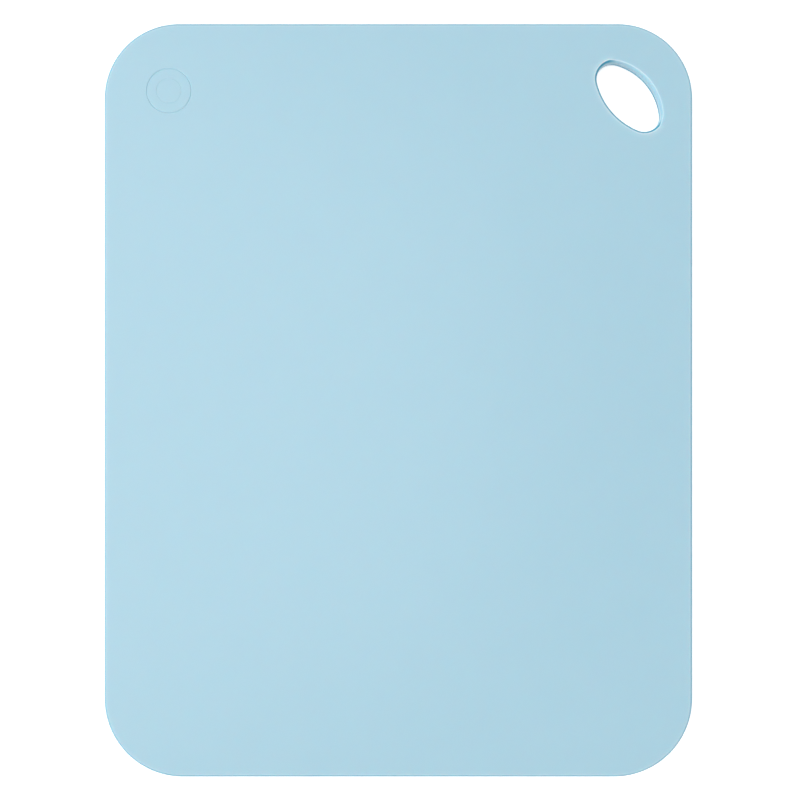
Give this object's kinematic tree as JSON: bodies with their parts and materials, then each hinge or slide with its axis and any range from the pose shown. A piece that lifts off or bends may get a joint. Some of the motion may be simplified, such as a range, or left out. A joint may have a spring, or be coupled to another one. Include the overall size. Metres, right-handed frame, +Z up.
{
  "type": "flexible cutting mat",
  "caption": "Thin bendable plastic cutting mat with rounded corners, soft edges, a slanted oval hanging hole and a small ring mark.",
  "frame": {"origin": "centre of the mat's underside, the flat face that lies on the worktop", "axes": "+X towards the side with the hanging hole, +Y along the mat's length towards the end with the hanging hole, +Z up out of the cutting face"},
  "size_m": [0.2812, 0.36, 0.005],
  "materials": {
    "mat_plastic": "matte"
  },
  "bodies": {
    "root": {"mat_sheet": "mat_plastic"}
  },
  "joints": []
}
